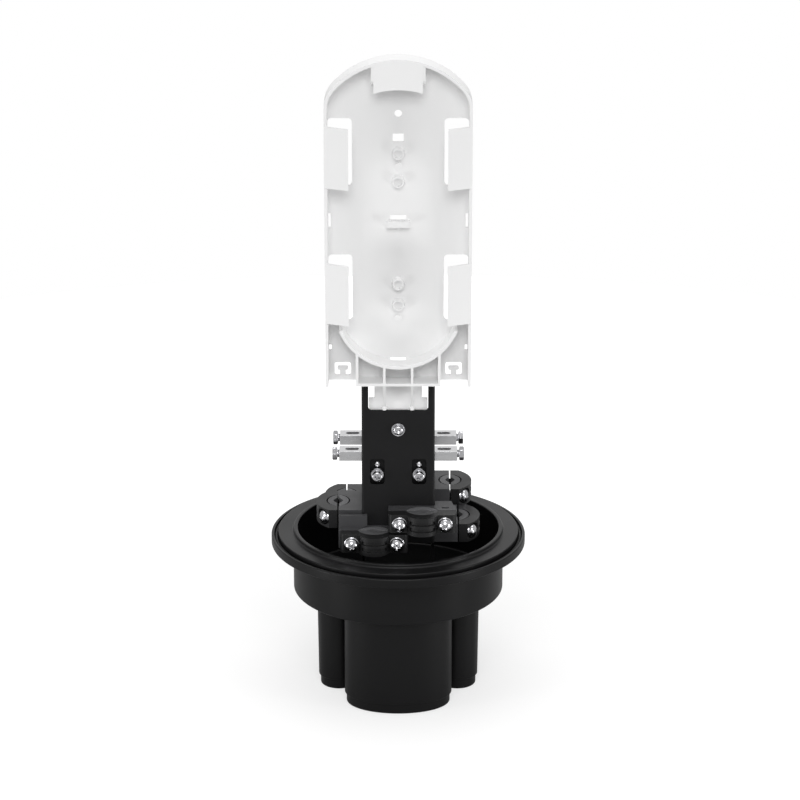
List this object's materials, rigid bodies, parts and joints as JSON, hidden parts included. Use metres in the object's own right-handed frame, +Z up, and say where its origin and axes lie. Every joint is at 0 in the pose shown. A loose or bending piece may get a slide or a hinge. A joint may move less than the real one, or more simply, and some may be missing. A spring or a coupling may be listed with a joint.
{
  "type": "dome splice closure",
  "caption": "Opened dome splice closure: round sealed base with cable ports, cable clamps on a folded bracket, and an arched white basket for spare fibre above.",
  "frame": {"origin": "centre of the flange, in the plane of the port ends", "axes": "+Z up along the flange axis towards the basket, -Y towards the basket's open side, +X to the right seen from there"},
  "size_m": [0.168, 0.168, 0.4349],
  "materials": {
    "black_housing": "satin moulded black polypropylene",
    "black_rubber": "matt black silicone seal",
    "black_powder_coat": "satin black powder coat on folded steel",
    "zinc_screws": "bright zinc plate",
    "chrome_bolts": "bright nickel plate",
    "white_plastic": "satin moulded white plastic",
    "zinc_bar": "brushed bright metal",
    "clamp_seat": "satin moulded dark grey plastic",
    "clamp_cap": "satin moulded black plastic",
    "insert": "dark grey elastomer insert"
  },
  "bodies": {
    "closure": {"base": "black_housing", "seal_ring": "black_rubber", "bracket": "black_powder_coat", "bracket_screws": "zinc_screws", "basket": "white_plastic", "basket_screw": "zinc_screws", "basket_nut": "zinc_screws", "front_bar": "zinc_bar", "rear_bar": "zinc_bar", "bar_lug_screws": "zinc_screws", "clamp_seat_screws": "zinc_screws", "front_left_clamp_seat": "clamp_seat", "front_left_inner_insert": "insert", "front_right_clamp_seat": "clamp_seat", "front_right_inner_insert": "insert", "near_left_clamp_seat": "clamp_seat", "near_left_inner_insert": "insert", "near_right_clamp_seat": "clamp_seat", "near_right_inner_insert": "insert", "far_left_clamp_seat": "clamp_seat", "far_left_inner_insert": "insert", "far_right_clamp_seat": "clamp_seat", "far_right_inner_insert": "insert"},
    "front_left_bolt": {"front_left_bar_bolt": "chrome_bolts"},
    "front_right_bolt": {"front_right_bar_bolt": "chrome_bolts"},
    "rear_left_bolt": {"rear_left_bar_bolt": "chrome_bolts"},
    "rear_right_bolt": {"rear_right_bar_bolt": "chrome_bolts"},
    "left_lug_bolt_body": {"left_lug_bolt": "chrome_bolts"},
    "right_lug_bolt_body": {"right_lug_bolt": "chrome_bolts"},
    "front_left_cap_set": {"front_left_clamp_cap": "clamp_cap", "front_left_outer_insert": "insert", "front_left_cap_screws": "chrome_bolts"},
    "front_right_cap_set": {"front_right_clamp_cap": "clamp_cap", "front_right_outer_insert": "insert", "front_right_cap_screws": "chrome_bolts"},
    "near_left_cap_set": {"near_left_clamp_cap": "clamp_cap", "near_left_outer_insert": "insert", "near_left_cap_screws": "chrome_bolts"},
    "near_right_cap_set": {"near_right_clamp_cap": "clamp_cap", "near_right_outer_insert": "insert", "near_right_cap_screws": "chrome_bolts"},
    "far_left_cap_set": {"far_left_clamp_cap": "clamp_cap", "far_left_outer_insert": "insert", "far_left_cap_screws": "chrome_bolts"},
    "far_right_cap_set": {"far_right_clamp_cap": "clamp_cap", "far_right_outer_insert": "insert", "far_right_cap_screws": "chrome_bolts"}
  },
  "joints": [
    {"name": "front_left_bar_bolt_slide", "type": "slide", "parent": "closure", "child": "front_left_bolt", "axis": [-1, 0, 0], "range_m": [-0.001, 0.003]},
    {"name": "front_right_bar_bolt_slide", "type": "slide", "parent": "closure", "child": "front_right_bolt", "axis": [1, 0, 0], "range_m": [-0.001, 0.003]},
    {"name": "rear_left_bar_bolt_slide", "type": "slide", "parent": "closure", "child": "rear_left_bolt", "axis": [-1, 0, 0], "range_m": [-0.001, 0.003]},
    {"name": "rear_right_bar_bolt_slide", "type": "slide", "parent": "closure", "child": "rear_right_bolt", "axis": [1, 0, 0], "range_m": [-0.001, 0.003]},
    {"name": "left_lug_bolt_slide", "type": "slide", "parent": "closure", "child": "left_lug_bolt_body", "axis": [0, -1, 0], "range_m": [0, 0.0035]},
    {"name": "right_lug_bolt_slide", "type": "slide", "parent": "closure", "child": "right_lug_bolt_body", "axis": [0, -1, 0], "range_m": [0, 0.0035]},
    {"name": "front_left_cap_slide", "type": "slide", "parent": "closure", "child": "front_left_cap_set", "axis": [0, -1, 0], "range_m": [0, 0.005]},
    {"name": "front_right_cap_slide", "type": "slide", "parent": "closure", "child": "front_right_cap_set", "axis": [0, -1, 0], "range_m": [0, 0.005]},
    {"name": "near_left_cap_slide", "type": "slide", "parent": "closure", "child": "near_left_cap_set", "axis": [-1, 0, 0], "range_m": [0, 0.005]},
    {"name": "near_right_cap_slide", "type": "slide", "parent": "closure", "child": "near_right_cap_set", "axis": [1, 0, 0], "range_m": [0, 0.005]},
    {"name": "far_left_cap_slide", "type": "slide", "parent": "closure", "child": "far_left_cap_set", "axis": [-1, 0, 0], "range_m": [0, 0.005]},
    {"name": "far_right_cap_slide", "type": "slide", "parent": "closure", "child": "far_right_cap_set", "axis": [1, 0, 0], "range_m": [0, 0.005]}
  ]
}
